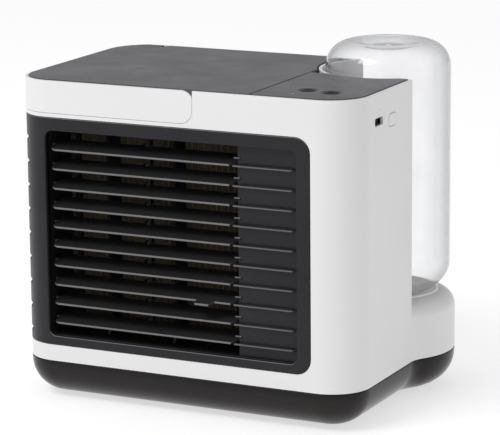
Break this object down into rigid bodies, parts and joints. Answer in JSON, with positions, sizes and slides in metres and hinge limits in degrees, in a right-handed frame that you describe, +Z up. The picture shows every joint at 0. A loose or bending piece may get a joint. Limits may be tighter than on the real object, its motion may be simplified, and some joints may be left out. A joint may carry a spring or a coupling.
{
  "type": "portable air conditioner",
  "caption": "Desktop evaporative air cooler with tilting front louvres, a hinged lid, top buttons, a water tray and an inverted clear bottle standing in a bay at the rear right.",
  "frame": {"origin": "middle of the bounding box's underside, on the surface the feet stand on", "axes": "+X along the longest side, to the right seen from the front; +Y to the rear, away from the louvres; +Z up"},
  "size_m": [0.2485, 0.1739, 0.2266],
  "materials": {
    "white_shell": "satin white moulded plastic",
    "dark_top": "fine matt grey moulded plastic",
    "charcoal": "charcoal moulded plastic",
    "smoke_tray": "smoked glossy plastic",
    "clear_bottle": "clear glossy plastic",
    "grey_socket": "grey moulded plastic",
    "filter_paper": "pleated wick material",
    "inner_grey": "plain moulded plastic",
    "board_green": "circuit board",
    "steel": "plated steel",
    "rubber": "soft rubber",
    "lens": "frosted light guide"
  },
  "bodies": {
    "housing": {"housing_shell": "white_shell", "rear_grille": "white_shell", "control_panel": "dark_top", "front_bezel": "charcoal", "louvre_frame": "charcoal", "blank_panel": "charcoal", "left_switch": "charcoal", "right_switch": "charcoal", "side_switch": "charcoal", "usb_tongue": "charcoal", "fan_motor": "charcoal", "base_tray": "smoke_tray", "bottle_socket": "grey_socket", "filter_pad": "filter_paper", "fan_shroud": "inner_grey", "inner_deck": "inner_grey", "partition_wall": "inner_grey", "filter_frame": "inner_grey", "hinge_bracket_left": "inner_grey", "hinge_bracket_right": "inner_grey", "control_board": "board_green", "power_board": "board_green", "hinge_pin_left": "steel", "hinge_pin_right": "steel", "usb_socket": "steel", "base_screw_1": "steel", "base_screw_2": "steel", "base_screw_3": "steel", "base_screw_4": "steel", "foot_1": "rubber", "foot_2": "rubber", "foot_3": "rubber", "foot_4": "rubber", "indicator_lens": "lens", "charge_lens": "lens"},
    "louvre_01": {"louvre_01": "charcoal"},
    "louvre_02": {"louvre_02": "charcoal"},
    "louvre_03": {"louvre_03": "charcoal"},
    "louvre_04": {"louvre_04": "charcoal"},
    "louvre_05": {"louvre_05": "charcoal"},
    "louvre_06": {"louvre_06": "charcoal"},
    "louvre_07": {"louvre_07": "charcoal"},
    "louvre_08": {"louvre_08": "charcoal"},
    "louvre_09": {"louvre_09": "charcoal"},
    "louvre_10": {"louvre_10": "charcoal"},
    "link_bar": {"louvre_link_bar": "charcoal"},
    "fan": {"fan_rotor": "inner_grey", "fan_shaft": "steel"},
    "lid": {"lid_top": "dark_top", "lid_band": "white_shell"},
    "left_button": {"left_button": "dark_top"},
    "right_button": {"right_button": "dark_top"},
    "side_button": {"side_button": "white_shell"},
    "bottle": {"bottle": "clear_bottle", "bottle_cap": "white_shell", "cap_valve": "charcoal"}
  },
  "joints": [
    {"name": "louvre_08_tilt", "type": "hinge", "parent": "housing", "child": "louvre_08", "pos_m": [-0.0058, -0.07316, 0.07809], "axis": [1, 0, 0], "range_deg": [-40, 30]},
    {"name": "louvre_01_tilt", "type": "hinge", "parent": "housing", "child": "louvre_01", "pos_m": [-0.0058, -0.07316, 0.16587], "axis": [1, 0, 0], "range_deg": [-41, 31]},
    {"name": "louvre_02_tilt", "type": "hinge", "parent": "housing", "child": "louvre_02", "pos_m": [-0.0058, -0.07316, 0.15333], "axis": [1, 0, 0], "range_deg": [-41, 31]},
    {"name": "louvre_03_tilt", "type": "hinge", "parent": "housing", "child": "louvre_03", "pos_m": [-0.0058, -0.07316, 0.14079], "axis": [1, 0, 0], "range_deg": [-41, 31]},
    {"name": "louvre_04_tilt", "type": "hinge", "parent": "housing", "child": "louvre_04", "pos_m": [-0.0058, -0.07316, 0.12825], "axis": [1, 0, 0], "range_deg": [-41, 31]},
    {"name": "louvre_05_tilt", "type": "hinge", "parent": "housing", "child": "louvre_05", "pos_m": [-0.0058, -0.07316, 0.11571], "axis": [1, 0, 0], "range_deg": [-41, 31]},
    {"name": "louvre_06_tilt", "type": "hinge", "parent": "housing", "child": "louvre_06", "pos_m": [-0.0058, -0.07316, 0.10317], "axis": [1, 0, 0], "range_deg": [-41, 31]},
    {"name": "louvre_07_tilt", "type": "hinge", "parent": "housing", "child": "louvre_07", "pos_m": [-0.0058, -0.07316, 0.09063], "axis": [1, 0, 0], "range_deg": [-41, 31]},
    {"name": "louvre_09_tilt", "type": "hinge", "parent": "housing", "child": "louvre_09", "pos_m": [-0.0058, -0.07316, 0.06555], "axis": [1, 0, 0], "range_deg": [-41, 31]},
    {"name": "louvre_10_tilt", "type": "hinge", "parent": "housing", "child": "louvre_10", "pos_m": [-0.0058, -0.07316, 0.05301], "axis": [1, 0, 0], "range_deg": [-41, 31]},
    {"name": "link_bar_turn", "type": "hinge", "parent": "louvre_08", "child": "link_bar", "pos_m": [-0.0358, -0.0639, 0.08023], "axis": [1, 0, 0], "range_deg": [-31, 41]},
    {"name": "fan_spin", "type": "hinge", "parent": "housing", "child": "fan", "pos_m": [-0.03315, 0.00438, 0.1097], "axis": [0, 1, 0], "continuous": true},
    {"name": "lid_hinge", "type": "hinge", "parent": "housing", "child": "lid", "pos_m": [-0.0058, 0.06818, 0.2068], "axis": [-1, 0, 0], "range_deg": [0, 92]},
    {"name": "left_button_press", "type": "slide", "parent": "housing", "child": "left_button", "axis": [0, 0, -1], "range_m": [0, 0.0008], "stiffness_N_per_m": 1500},
    {"name": "right_button_press", "type": "slide", "parent": "housing", "child": "right_button", "axis": [0, 0, -1], "range_m": [0, 0.0008], "stiffness_N_per_m": 1500},
    {"name": "side_button_press", "type": "slide", "parent": "housing", "child": "side_button", "axis": [-1, 0, 0], "range_m": [0, 0.0007], "stiffness_N_per_m": 1500},
    {"name": "bottle_lift", "type": "slide", "parent": "housing", "child": "bottle", "axis": [0, 0, 1], "range_m": [0, 0.19]}
  ],
  "couplings": [
    {"joint": "louvre_01_tilt", "follows": "louvre_08_tilt", "ratio": 1},
    {"joint": "louvre_02_tilt", "follows": "louvre_08_tilt", "ratio": 1},
    {"joint": "louvre_03_tilt", "follows": "louvre_08_tilt", "ratio": 1},
    {"joint": "louvre_04_tilt", "follows": "louvre_08_tilt", "ratio": 1},
    {"joint": "louvre_05_tilt", "follows": "louvre_08_tilt", "ratio": 1},
    {"joint": "louvre_06_tilt", "follows": "louvre_08_tilt", "ratio": 1},
    {"joint": "louvre_07_tilt", "follows": "louvre_08_tilt", "ratio": 1},
    {"joint": "louvre_09_tilt", "follows": "louvre_08_tilt", "ratio": 1},
    {"joint": "louvre_10_tilt", "follows": "louvre_08_tilt", "ratio": 1},
    {"joint": "link_bar_turn", "follows": "louvre_08_tilt", "ratio": -1}
  ]
}
